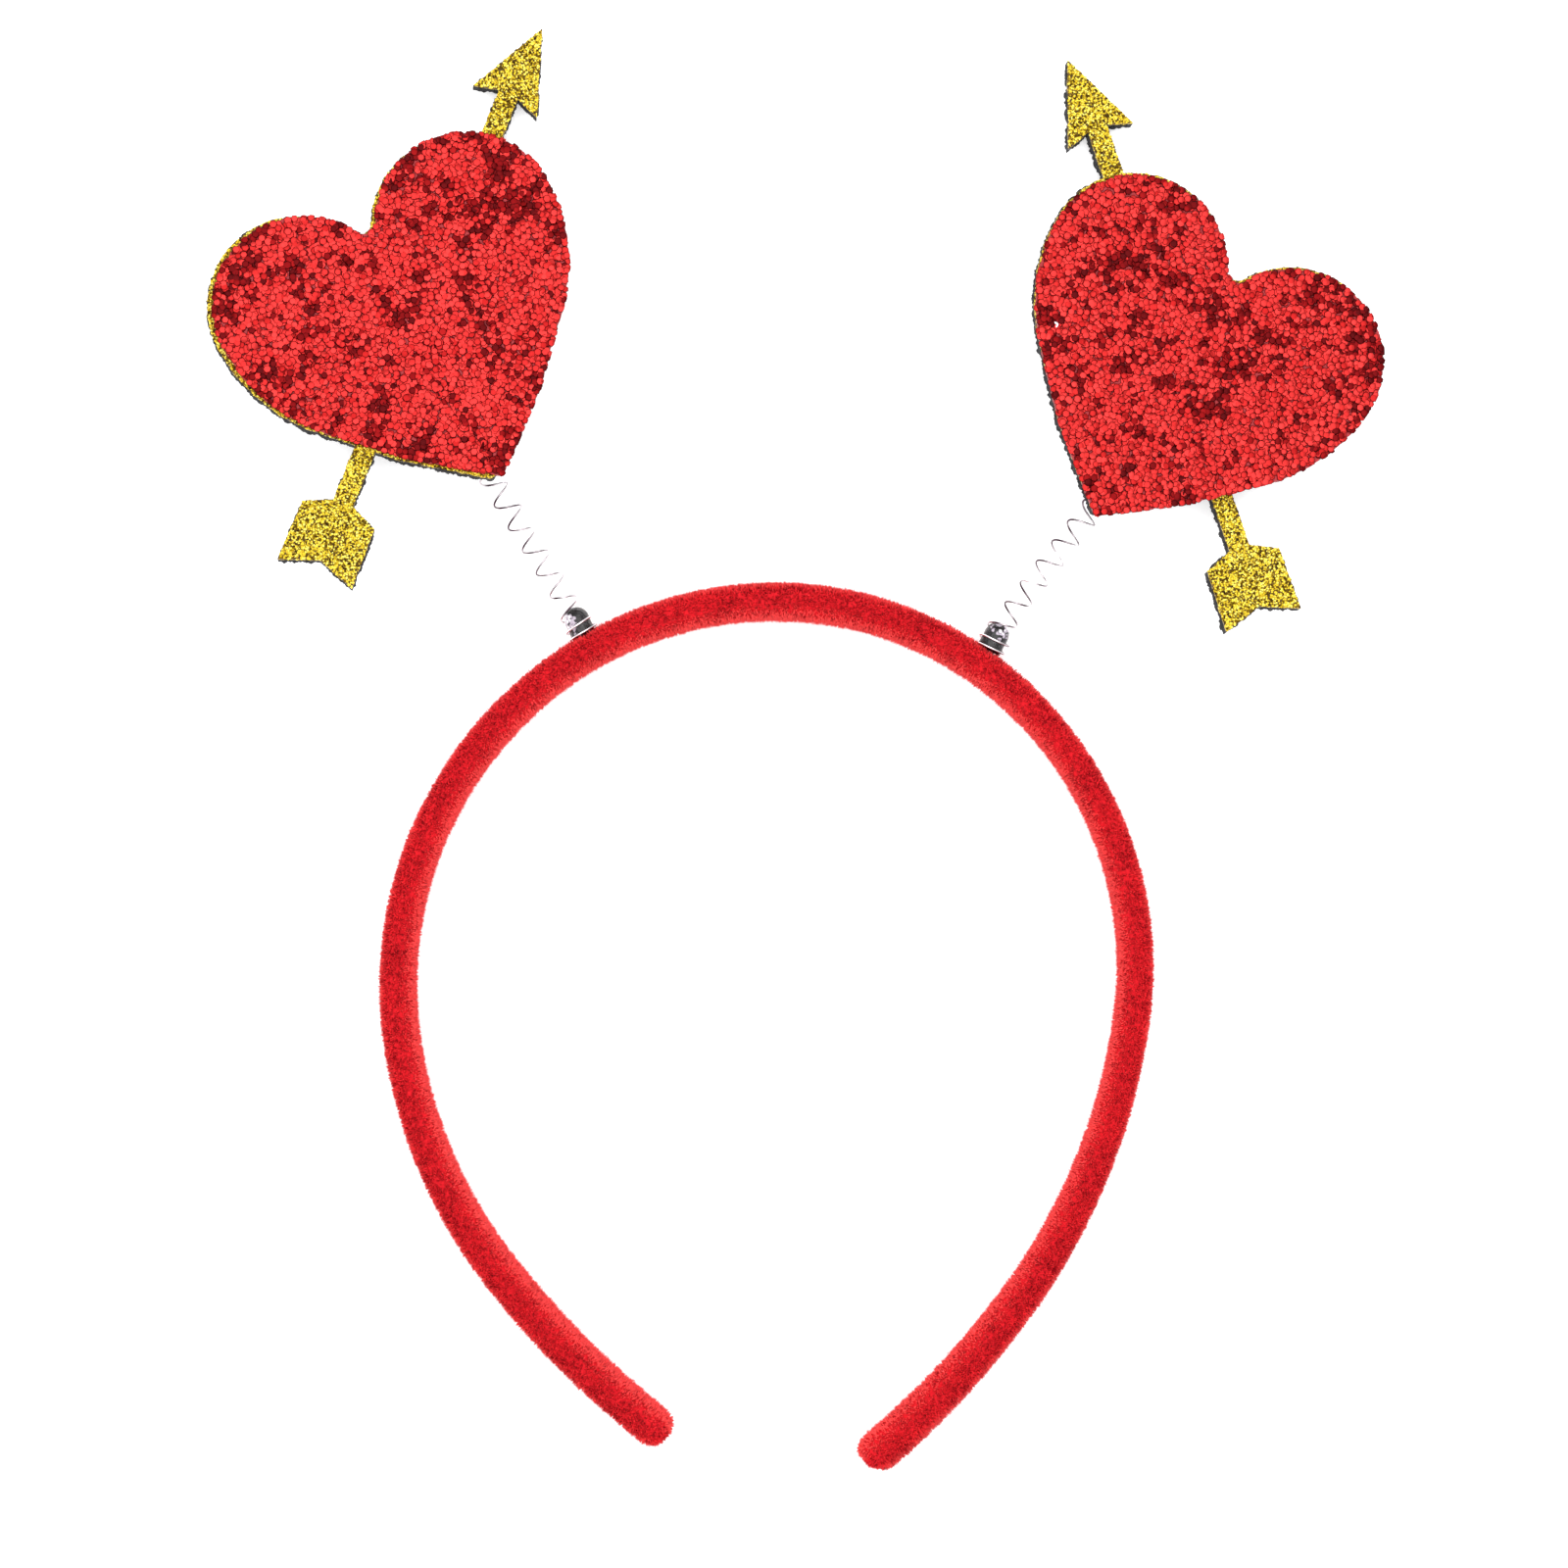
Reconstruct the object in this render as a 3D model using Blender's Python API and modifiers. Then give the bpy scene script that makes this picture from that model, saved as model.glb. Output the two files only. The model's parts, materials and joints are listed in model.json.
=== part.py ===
"""A heart headband: a padded velour C-band with two glitter hearts on coil springs.

It lies on a level surface as it would on a table. +X is to the wearer's side, +Y points to the
crown, +Z up from the surface. The origin is on the flattened underside of the band, at its crown.
Lengths are in metres.
"""
from collections import namedtuple
from math import acos, atan2, cos, pi, radians, sin, sqrt

import bmesh
import bpy
import numpy as np
from mathutils import Matrix, Vector
from mathutils.geometry import delaunay_2d_cdt

MM = 0.001

# Band
BAND_WIDTH = 130.0 * MM         # outside, at the widest
BAND_THICKNESS = 6.0 * MM       # from the head side to the outer side
BAND_HEIGHT = 9.8 * MM          # across the flat of the band, before it lies down
REST_FLAT = 0.25 * MM           # pile pressed flat where the band lies
TIP_ROUNDING = 3.0 * MM         # length over which an end closes
TIP_BLUNTNESS = 2.6             # 2 is a half ellipse, more is blunter
SECTION_SQUARENESS = 2.6        # 2 is an ellipse, more is nearer a rectangle
SECTION_POINTS = 20
RING_SPACING = 4.6 * MM

# Plugs
PLUG_RADIUS = 2.15 * MM
PLUG_HEIGHT = 4.45 * MM
PLUG_DOME_SHARE = 0.52          # share of the height that is dome
PLUG_SIDES = 20

# Springs
WIRE_RADIUS = 0.18 * MM
COIL_RADIUS = 1.95 * MM         # to the middle of the wire
BASE_TURNS = 1.6                # close turns round the plug
BASE_PITCH = 1.1 * MM
BASE_LIFT = 0.15 * MM           # first turn above the plug's foot
END_TURNS = 1.0                 # close turns under the heart
END_PITCH = 0.5 * MM
FIRST_TURN_ANGLE = 206.0        # degrees, where the wire starts round the plug
POINTS_PER_TURN = 12
LEAVE_SHARE = 0.7               # how strongly the spring leaves along its plug
SPRING_REACH = 33.3 * MM        # left plug's foot to its anchor behind the heart's point
OPEN_PITCH = 4.46 * MM          # left spring's open turns
SWAY_SHARE = 0.34               # where the spring bends sideways, along its length
NOD_SHARE = 0.66                # where it bends up and down

# Hearts
HEART_WIDTH = 61.2 * MM
SHOULDER_SHARE = 0.479          # radius under the widest point, over the heart's width
SHOULDER_TURN = radians(40.3)
SIDE_SHARE = 2.02               # radius of the long side, over the heart's width
NOTCH_RADIUS = 2.0 * MM
POINT_RADIUS = 0.8 * MM
ANCHOR_INSET = 4.2 * MM         # spring's middle, in from the heart's point
BACKING_THICKNESS = 2.2 * MM
GOLD_THICKNESS = 0.6 * MM
RED_THICKNESS = 1.0 * MM
ARC_STEP = radians(11.0)

# Arrows, measured along the arrow from where it crosses the heart's middle line
ARROW_LEAN = radians(49.0)      # from the heart's middle line
ARROW_RISE_SHARE = 0.513        # crossing above the heart's point, over the heart's height
ARROW_NOSE = 55.6 * MM          # crossing to point
ARROW_TAIL = 44.6 * MM          # crossing to the ends of the tail
SHAFT_WIDTH = 3.5 * MM
HEAD_TURN = radians(5.0)        # the head points a little further aside than the shaft
HEAD_LENGTH = 14.1 * MM         # point to barbs
HEAD_WIDTH = 12.0 * MM
HEAD_SWEEP = 1.4 * MM           # barbs behind the head's inner corners
FEATHER_LENGTH = 10.7 * MM
FEATHER_WIDTH = 12.8 * MM
FEATHER_FLARE = 0.25 * MM       # each tail end wider than the front corner
FEATHER_SLOPE = 2.1 * MM        # from the shaft to the front corners
TAIL_NOTCH = 2.5 * MM

# Clearances
GAP = 0.3 * MM

# Arcs of each leg's centre line from the crown to its tip: radius over BAND_WIDTH, turn in degrees
Arc = namedtuple("Arc", "radius turn")
LEFT_LEG = (
    Arc(0.481, 38.8),
    Arc(0.500, 59.6),
    Arc(0.633, 29.8),
    Arc(1.183, 14.4),
)
RIGHT_LEG = (
    Arc(0.456, 39.4),
    Arc(0.477, 58.2),
    Arc(0.806, 28.8),
    Arc(1.143, 14.0),
)

# Section along each leg: share of the leg, thickness over BAND_THICKNESS, twist in degrees
Station = namedtuple("Station", "share thickness twist")
LEFT_STATIONS = (
    Station(0.00, 1.07, 0.0),
    Station(0.20, 1.00, 0.0),
    Station(0.60, 1.02, 0.0),
    Station(0.85, 1.08, 6.0),
    Station(1.00, 1.06, 8.0),
)
RIGHT_STATIONS = (
    Station(0.00, 1.07, 0.0),
    Station(0.15, 1.04, 0.0),
    Station(0.30, 0.98, 0.0),
    Station(0.62, 1.00, 0.0),
    Station(0.82, 1.10, 8.0),
    Station(1.00, 1.16, 16.0),
)

# One row for each ornament. Leans are degrees from straight up the band, positive to +X.
# Reach and pitch are shares of SPRING_REACH and OPEN_PITCH.
# The red heart is glued on a little turned, and shifted along the heart's width and height by
# shares of HEART_WIDTH.
Ornament = namedtuple(
    "Ornament",
    "side sign station plug_lean spring_lean reach pitch"
    " heart_lean tilt tilt_heading shift_u shift_v red_turn",
)
ORNAMENTS = (
    Ornament(
        "left", -1, 0.168, -26.0, -30.4, 1.0, 1.0,
        -27.6, 6.7, 50.0, 0.026, -0.006, -1.15,
    ),
    Ornament(
        "right", 1, 0.187, 28.0, 36.4, 0.952, 0.964,
        31.0, 7.4, 51.0, 0.008, -0.008, -0.2,
    ),
)

# Colours with roughness and metallic value
Finish = namedtuple("Finish", "colour roughness metallic")
VELOUR = Finish((0.62, 0.012, 0.03), 0.95, 0.0)
RED_GLITTER = Finish((0.72, 0.02, 0.03), 0.35, 0.4)
GOLD_GLITTER = Finish((0.72, 0.48, 0.08), 0.35, 0.7)
BLACK_FOAM = Finish((0.012, 0.012, 0.014), 0.9, 0.0)
SILVER_WIRE = Finish((0.8, 0.8, 0.82), 0.2, 1.0)
BLACK_PLUG = Finish((0.02, 0.018, 0.022), 0.15, 0.0)


def clear_scene():
    for obj in list(bpy.data.objects):
        bpy.data.objects.remove(obj, do_unlink=True)


def new_collection(name):
    collection = bpy.data.collections.new(name)
    bpy.context.scene.collection.children.link(collection)
    return collection


def set_material(obj, finish):
    material = bpy.data.materials.new(obj.name)
    material.use_nodes = True
    shader = material.node_tree.nodes["Principled BSDF"]
    shader.inputs["Base Color"].default_value = (*finish.colour, 1.0)
    shader.inputs["Roughness"].default_value = finish.roughness
    shader.inputs["Metallic"].default_value = finish.metallic
    obj.data.materials.append(material)


def add_object(name, data, collection, finish=None):
    obj = bpy.data.objects.new(name, data)
    collection.objects.link(obj)
    if finish:
        set_material(obj, finish)
    return obj


def smooth(mesh, angle):
    mesh.shade_smooth()
    mesh.set_sharp_from_angle(angle=angle)


def arc_points(centre, radius, start, end):
    """Points on a circle from the start angle to the end angle, both included."""
    steps = max(2, round(abs(end - start) / ARC_STEP))
    angles = np.linspace(start, end, steps + 1)
    return [(centre[0] + radius * cos(a), centre[1] + radius * sin(a)) for a in angles]


def leg_length(arcs):
    return sum(arc.radius * BAND_WIDTH * radians(arc.turn) for arc in arcs)


def leg_point(arcs, sign, distance):
    """Place and outward direction of a leg's centre line at a distance from the crown."""
    place = Vector((0.0, 0.0))
    heading = 0.0
    for arc in arcs:
        radius = arc.radius * BAND_WIDTH
        turn = min(radians(arc.turn), distance / radius)
        centre = place - radius * Vector((sign * sin(heading), cos(heading)))
        heading += turn
        place = centre + radius * Vector((sign * sin(heading), cos(heading)))
        distance -= radius * turn
        if distance <= 0.0:
            break
    return place, Vector((sign * sin(heading), cos(heading)))


def station_at(stations, share):
    """Thickness and twist between the two stations around a share of the leg."""
    shares = [s.share for s in stations]
    thickness = np.interp(share, shares, [s.thickness for s in stations])
    twist = np.interp(share, shares, [s.twist for s in stations])
    return thickness * BAND_THICKNESS, radians(twist)


def centre_height():
    return BAND_HEIGHT / 2 - REST_FLAT


def band_ring(place, outward, thickness, twist, scale):
    """One cross-section: a rounded rectangle, pressed flat at the surface it lies on."""
    power = 2.0 / SECTION_SQUARENESS
    ring = []
    for k in range(SECTION_POINTS):
        angle = 2 * pi * k / SECTION_POINTS
        across = scale * thickness / 2 * np.sign(cos(angle)) * abs(cos(angle)) ** power
        up = scale * BAND_HEIGHT / 2 * np.sign(sin(angle)) * abs(sin(angle)) ** power
        turned = across * cos(twist) - up * sin(twist)
        height = centre_height() + across * sin(twist) + up * cos(twist)
        spot = place + outward * turned
        ring.append(Vector((spot.x, spot.y, max(height, 0.0))))
    return ring


def leg_rings(arcs, sign, stations):
    """Cross-sections from the crown to the tip, and the tip's last point."""
    length = leg_length(arcs)
    straight = length - TIP_ROUNDING
    count = round(straight / RING_SPACING)
    distances = [straight * k / count for k in range(count + 1)]
    tip_angles = [radians(a) for a in (25.0, 45.0, 62.0, 78.0)]
    distances += [straight + TIP_ROUNDING * sin(a) for a in tip_angles]
    rings = []
    for distance in distances:
        place, outward = leg_point(arcs, sign, distance)
        thickness, twist = station_at(stations, distance / length)
        into_tip = max(0.0, distance - straight) / TIP_ROUNDING
        scale = (1.0 - into_tip ** TIP_BLUNTNESS) ** (1.0 / TIP_BLUNTNESS)
        rings.append(band_ring(place, outward, thickness, sign * twist, scale))
    last, _ = leg_point(arcs, sign, length)
    return rings, Vector((last.x, last.y, centre_height()))


def make_band(collection):
    """The band lofted from the left tip over the crown to the right tip."""
    left, left_tip = leg_rings(LEFT_LEG, -1, LEFT_STATIONS)
    right, right_tip = leg_rings(RIGHT_LEG, 1, RIGHT_STATIONS)
    rings = left[:0:-1] + right
    shape = bmesh.new()
    loops = [[shape.verts.new(point) for point in ring] for ring in rings]
    for lower, upper in zip(loops, loops[1:]):
        for k in range(SECTION_POINTS):
            following = (k + 1) % SECTION_POINTS
            shape.faces.new((lower[k], lower[following], upper[following], upper[k]))
    for loop, tip in ((loops[0], left_tip), (loops[-1], right_tip)):
        point = shape.verts.new(tip)
        for k in range(SECTION_POINTS):
            shape.faces.new((loop[k], loop[(k + 1) % SECTION_POINTS], point))
    bmesh.ops.recalc_face_normals(shape, faces=shape.faces)
    mesh = bpy.data.meshes.new("band")
    shape.to_mesh(mesh)
    shape.free()
    smooth(mesh, radians(50.0))
    return add_object("band", mesh, collection, VELOUR)


def lean_direction(degrees):
    """Level direction that leans from straight up the band."""
    return Vector((sin(radians(degrees)), cos(radians(degrees)), 0.0))


def plug_foot(row):
    """Middle of a plug's foot, just off the band's outer face, and the plug's direction."""
    arcs = LEFT_LEG if row.sign < 0 else RIGHT_LEG
    stations = LEFT_STATIONS if row.sign < 0 else RIGHT_STATIONS
    distance = row.station * leg_length(arcs)
    place, outward = leg_point(arcs, row.sign, distance)
    thickness, _ = station_at(stations, row.station)
    direction = lean_direction(row.plug_lean)
    outward = Vector((outward.x, outward.y, 0.0))
    lift = PLUG_RADIUS * outward.cross(direction).length
    foot = Vector((place.x, place.y, centre_height()))
    return foot + outward * (thickness / 2 + GAP + lift), direction


def make_plug(row, collection):
    """A turned plug: a straight foot under a dome. Its profile runs from the foot to the top."""
    foot, direction = plug_foot(row)
    dome = PLUG_HEIGHT * PLUG_DOME_SHARE
    straight = PLUG_HEIGHT - dome
    profile = [(0.0, PLUG_HEIGHT)]
    for angle in (72.0, 54.0, 36.0, 18.0, 0.0):
        profile.append((PLUG_RADIUS * cos(radians(angle)), straight + dome * sin(radians(angle))))
    profile += [(PLUG_RADIUS, 0.0), (0.0, 0.0)]
    shape = bmesh.new()
    points = [shape.verts.new((x, 0.0, z)) for x, z in profile]
    for upper, lower in zip(points, points[1:]):
        shape.edges.new((upper, lower))
    mesh = bpy.data.meshes.new("plug_" + row.side)
    shape.to_mesh(mesh)
    shape.free()
    obj = add_object("plug_" + row.side, mesh, collection, BLACK_PLUG)
    turn = obj.modifiers.new("turn", "SCREW")
    turn.steps = PLUG_SIDES
    turn.render_steps = PLUG_SIDES
    turn.use_merge_vertices = True
    turn.merge_threshold = 0.01 * MM
    turn.use_smooth_shade = True
    obj.location = foot
    obj.rotation_mode = "QUATERNION"
    obj.rotation_quaternion = Vector((0.0, 0.0, 1.0)).rotation_difference(direction)
    return obj


def side_end():
    """Half width of the heart where its shoulder meets its long side, and the tip's half angle."""
    half = HEART_WIDTH / 2 - SHOULDER_SHARE * HEART_WIDTH * (1 - cos(SHOULDER_TURN))
    tip = acos(cos(SHOULDER_TURN) - half / (SIDE_SHARE * HEART_WIDTH))
    return half, tip


def lobe_level():
    """Height of the middle of the heart's lobes above its point."""
    _, tip = side_end()
    side = SIDE_SHARE * HEART_WIDTH * (sin(tip) - sin(SHOULDER_TURN))
    return side + SHOULDER_SHARE * HEART_WIDTH * sin(SHOULDER_TURN)


def heart_outline():
    """The heart from its point round to its point again, as (across, up) from the point.

    Each half is a long side arc, a shoulder arc and a lobe arc, all tangent, and the notch and
    the point are rounded.
    """
    lobe = HEART_WIDTH / 4
    level = lobe_level()
    shoulder = SHOULDER_SHARE * HEART_WIDTH
    side = SIDE_SHARE * HEART_WIDTH
    _, tip = side_end()
    notch_height = sqrt((lobe + NOTCH_RADIUS) ** 2 - lobe ** 2)
    notch_angle = acos(lobe / (lobe + NOTCH_RADIUS))
    side_centre = (-side * cos(tip), side * sin(tip))
    below = sqrt(side_centre[1] ** 2 - 2 * side * POINT_RADIUS + POINT_RADIUS ** 2)
    side_foot = atan2(below, side * cos(tip))

    half = arc_points((0.0, side_centre[1] - below), POINT_RADIUS, -pi / 2, -side_foot)
    half += arc_points(side_centre, side, -side_foot, -SHOULDER_TURN)[1:]
    half += arc_points((HEART_WIDTH / 2 - shoulder, level), shoulder, -SHOULDER_TURN, 0.0)[1:]
    half += arc_points((lobe, level), lobe, 0.0, pi - notch_angle)[1:]
    half += arc_points((0.0, level + notch_height), NOTCH_RADIUS, -notch_angle, -pi / 2)[1:]
    mirrored = [(-u, v) for u, v in half[-2:0:-1]]
    return half + mirrored


def turned(point, angle, about=(0.0, 0.0)):
    """A point turned clockwise in its plane about another."""
    x, y = point[0] - about[0], point[1] - about[1]
    return (about[0] + x * cos(angle) + y * sin(angle), about[1] - x * sin(angle) + y * cos(angle))


def arrow_outline():
    """The arrow as (across, up) from the heart's point. Head and tail are even about their line."""
    shaft = SHAFT_WIDTH / 2
    barb = ARROW_NOSE - HEAD_LENGTH
    neck = (0.0, barb + HEAD_SWEEP)
    feather_front = FEATHER_LENGTH - ARROW_TAIL
    feather = FEATHER_WIDTH / 2
    head = [(shaft, barb + HEAD_SWEEP), (HEAD_WIDTH / 2, barb), (0.0, ARROW_NOSE)]
    head += [(-x, y) for x, y in head[1::-1]]
    tail = [
        (-shaft, feather_front + FEATHER_SLOPE),
        (-feather, feather_front),
        (-feather - FEATHER_FLARE, -ARROW_TAIL),
        (0.0, TAIL_NOTCH - ARROW_TAIL),
    ]
    tail += [(-x, y) for x, y in tail[2::-1]]
    outline = [turned(point, HEAD_TURN, neck) for point in head] + tail
    rise = ARROW_RISE_SHARE * (lobe_level() + HEART_WIDTH / 4)
    return [(u, rise + v) for u, v in (turned(point, ARROW_LEAN) for point in outline)]


def flat_mesh(name, outlines):
    """Outlines that may overlap, joined into one flat region. Each runs counterclockwise."""
    points = []
    loops = []
    for outline in outlines:
        loops.append(list(range(len(points), len(points) + len(outline))))
        points += [Vector(point) for point in outline]
    to_the_hull = 0
    spots, _, faces, _, _, sources = delaunay_2d_cdt(
        points, [], loops, to_the_hull, 0.001 * MM, True
    )
    inside = [face for face, source in zip(faces, sources) if source]
    shape = bmesh.new()
    verts = [shape.verts.new((spot.x, spot.y, 0.0)) for spot in spots]
    for face in inside:
        shape.faces.new([verts[k] for k in face])
    bmesh.ops.delete(shape, geom=[v for v in verts if not v.link_faces], context="VERTS")
    mesh = bpy.data.meshes.new(name)
    shape.to_mesh(mesh)
    shape.free()
    return mesh


def on_heart(points, row):
    """Outline points measured from the anchor, mirrored on the right-hand ornament."""
    return [(-row.sign * u, v - ANCHOR_INSET) for u, v in points][::-row.sign]


def red_outline(row):
    """The red heart's outline: turned about the heart's point, then shifted."""
    about = (0.0, -ANCHOR_INSET)
    points = [turned(point, radians(row.red_turn), about) for point in on_heart(heart_outline(), row)]
    shift_u, shift_v = row.shift_u * HEART_WIDTH, row.shift_v * HEART_WIDTH
    return [(x + shift_u, y + shift_v) for x, y in points]


def heart_turn(row):
    """Rotation of a heart: its lean in the plane of the band, then its tilt off the surface."""
    heading = radians(row.tilt_heading)
    tilt = Matrix.Rotation(radians(row.tilt), 4, Vector((-sin(heading), cos(heading), 0.0)))
    return tilt @ Matrix.Rotation(-radians(row.heart_lean), 4, "Z")


def heart_frame(row):
    """Place of a heart: over its spring's end, and low enough to rest on the surface."""
    foot, _ = plug_foot(row)
    anchor = foot + lean_direction(row.spring_lean) * row.reach * SPRING_REACH
    turn = heart_turn(row)
    underside = on_heart(heart_outline() + arrow_outline(), row)
    lowest = min((turn @ Vector((x, y, 0.0))).z for x, y in underside)
    return Matrix.Translation((anchor.x, anchor.y, -lowest)) @ turn


def hold(obj, holder):
    """Parent an object to an empty and leave it where it is."""
    obj.parent = holder
    obj.matrix_parent_inverse = Matrix.Translation(holder["pivot"]).inverted()


def make_pivot(name, point, collection, holder=None):
    """An empty on a joint's axis."""
    empty = bpy.data.objects.new(name, None)
    empty.empty_display_size = 5 * MM
    empty.location = point
    empty["pivot"] = list(point)
    collection.objects.link(empty)
    if holder:
        hold(empty, holder)
    return empty


def make_sheet(name, outlines, floor, thickness, row, holder, collection, finish):
    """A flat piece cut to outlines, its underside at a height above the heart's underside."""
    obj = add_object(name, flat_mesh(name, outlines), collection, finish)
    sheet = obj.modifiers.new("sheet", "SOLIDIFY")
    sheet.thickness = thickness
    sheet.offset = 1.0
    obj.matrix_world = heart_frame(row) @ Matrix.Translation((0.0, 0.0, floor))
    hold(obj, holder)


def make_heart(row, holder, collection):
    """Black foam and gold sheet cut as heart and arrow in one, and the red heart over them."""
    cut = [on_heart(heart_outline(), row), on_heart(arrow_outline(), row)]
    gold_floor = BACKING_THICKNESS + GAP
    red_floor = gold_floor + GOLD_THICKNESS + GAP
    for name, outlines, floor, thickness, finish in (
        ("backing_", cut, 0.0, BACKING_THICKNESS, BLACK_FOAM),
        ("arrow_plate_", cut, gold_floor, GOLD_THICKNESS, GOLD_GLITTER),
        ("red_heart_", [red_outline(row)], red_floor, RED_THICKNESS, RED_GLITTER),
    ):
        make_sheet(name + row.side, outlines, floor, thickness, row, holder, collection, finish)


def spring_axis(row):
    """Points on the spring's middle line and their distances along it.

    It is the cubic that leaves the plug's foot near the plug's lean and arrives under the heart.
    """
    foot, direction = plug_foot(row)
    place = heart_frame(row)
    end = place @ Vector((0.0, 0.0, -(GAP + WIRE_RADIUS + COIL_RADIUS)))
    heart_up = place.to_3x3() @ Vector((0.0, 0.0, 1.0))
    level = lean_direction(row.spring_lean)
    arrival = (level - heart_up * level.dot(heart_up)).normalized()
    span = (end - foot).length
    t = np.linspace(0.0, 1.0, 201)[:, None]
    start_weight = 2 * t ** 3 - 3 * t ** 2 + 1
    leave_weight = t ** 3 - 2 * t ** 2 + t
    end_weight = 3 * t ** 2 - 2 * t ** 3
    arrive_weight = t ** 3 - t ** 2
    line = start_weight * np.array(foot) + leave_weight * LEAVE_SHARE * span * np.array(direction)
    line += end_weight * np.array(end) + arrive_weight * span * np.array(arrival)
    steps = np.linalg.norm(np.diff(line, axis=0), axis=1)
    return line, np.concatenate(([0.0], np.cumsum(steps)))


def point_on(line, distances, distance):
    return np.array([np.interp(distance, distances, line[:, k]) for k in range(3)])


def spring_points(row):
    """The wire's middle: close turns round the plug, open turns, one close turn at the heart.

    Seen from the plug the wire turns clockwise as it goes up, which makes it right-handed.
    """
    line, distances = spring_axis(row)
    total = distances[-1]
    plug_coil = PLUG_RADIUS + GAP + WIRE_RADIUS
    base_end = BASE_LIFT + BASE_TURNS * BASE_PITCH
    open_end = total - END_TURNS * END_PITCH
    open_turns = (open_end - base_end) / (row.pitch * OPEN_PITCH)
    taper_end = PLUG_HEIGHT + 2 * WIRE_RADIUS + 3 * GAP
    turn_marks = np.cumsum([0.0, BASE_TURNS, open_turns, END_TURNS])
    distance_marks = [BASE_LIFT, base_end, open_end, total]
    count = round(turn_marks[-1] * POINTS_PER_TURN)
    points = []
    for k in range(count + 1):
        turn = k / POINTS_PER_TURN
        distance = np.interp(turn, turn_marks, distance_marks)
        radius = float(np.interp(distance, [base_end, taper_end], [plug_coil, COIL_RADIUS]))
        middle = point_on(line, distances, distance)
        ahead = point_on(line, distances, min(distance + COIL_RADIUS / 4, total))
        behind = point_on(line, distances, max(distance - COIL_RADIUS / 4, 0.0))
        along = Vector(ahead - behind).normalized()
        aside = along.cross(Vector((0.0, 0.0, 1.0))).normalized()
        above = aside.cross(along)
        angle = radians(FIRST_TURN_ANGLE) + 2 * pi * turn
        points.append(Vector(middle) + radius * (cos(angle) * aside - sin(angle) * above))
    return points


def make_spring(row, holder, collection):
    name = "spring_" + row.side
    curve = bpy.data.curves.new(name, "CURVE")
    curve.dimensions = "3D"
    curve.bevel_depth = WIRE_RADIUS
    curve.bevel_resolution = 2
    curve.use_fill_caps = True
    spline = curve.splines.new("POLY")
    points = spring_points(row)
    spline.points.add(len(points) - 1)
    for spot, point in zip(spline.points, points):
        spot.co = (*point, 1.0)
    obj = add_object(name, curve, collection, SILVER_WIRE)
    hold(obj, holder)
    return obj


def make_ornament(row, collection):
    """A plug, its spring and its heart. The two empties are where the spring bends."""
    make_plug(row, collection)
    line, distances = spring_axis(row)
    sway_point = Vector(point_on(line, distances, SWAY_SHARE * distances[-1]))
    nod_point = Vector(point_on(line, distances, NOD_SHARE * distances[-1]))
    sway = make_pivot(row.side + "_sway", sway_point, collection)
    nod = make_pivot(row.side + "_nod", nod_point, collection, sway)
    make_spring(row, sway, collection)
    make_heart(row, nod, collection)


def main():
    clear_scene()
    parts = new_collection("heart_headband")
    make_band(parts)
    for row in ORNAMENTS:
        make_ornament(row, parts)


main()
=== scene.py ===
"""Looks of a heart headband: velour band, glossy plugs, wire springs and two glitter hearts.

Laid out as an add-on and run as a script. Lengths are metres in the frame of the CAD model, which
lies on the floor with +Z up. Every surface is worked out from the CAD node that it replaces or
covers.
"""
import json

import bmesh
import bpy
import numpy as np
from bpy.props import FloatProperty, FloatVectorProperty, IntProperty, PointerProperty
from bpy.types import Operator, Panel, PropertyGroup
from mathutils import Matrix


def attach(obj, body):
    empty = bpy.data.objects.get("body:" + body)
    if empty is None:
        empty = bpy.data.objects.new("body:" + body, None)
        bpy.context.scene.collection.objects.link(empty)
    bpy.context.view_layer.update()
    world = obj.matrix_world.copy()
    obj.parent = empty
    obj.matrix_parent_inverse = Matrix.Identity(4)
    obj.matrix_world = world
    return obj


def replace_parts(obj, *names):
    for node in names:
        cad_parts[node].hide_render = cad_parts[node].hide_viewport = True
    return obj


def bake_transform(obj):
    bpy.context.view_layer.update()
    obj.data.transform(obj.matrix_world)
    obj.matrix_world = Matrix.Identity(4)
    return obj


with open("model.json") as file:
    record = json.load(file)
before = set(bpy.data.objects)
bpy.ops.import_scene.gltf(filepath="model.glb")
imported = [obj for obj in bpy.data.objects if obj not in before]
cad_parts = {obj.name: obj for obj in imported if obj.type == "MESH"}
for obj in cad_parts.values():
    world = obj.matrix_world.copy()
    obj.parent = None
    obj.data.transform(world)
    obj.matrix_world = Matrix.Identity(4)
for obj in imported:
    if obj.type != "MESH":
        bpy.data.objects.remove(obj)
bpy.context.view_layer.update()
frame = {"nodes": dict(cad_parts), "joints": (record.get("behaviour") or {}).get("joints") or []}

bl_info = {
    "name": "Heart headband",
    "version": (1, 0, 0),
    "blender": (4, 5, 0),
    "location": "3D View > Sidebar > Headband",
    "description": "Dresses a headband with velour, glitter hearts, wire springs and plugs",
    "category": "Object",
}

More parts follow.
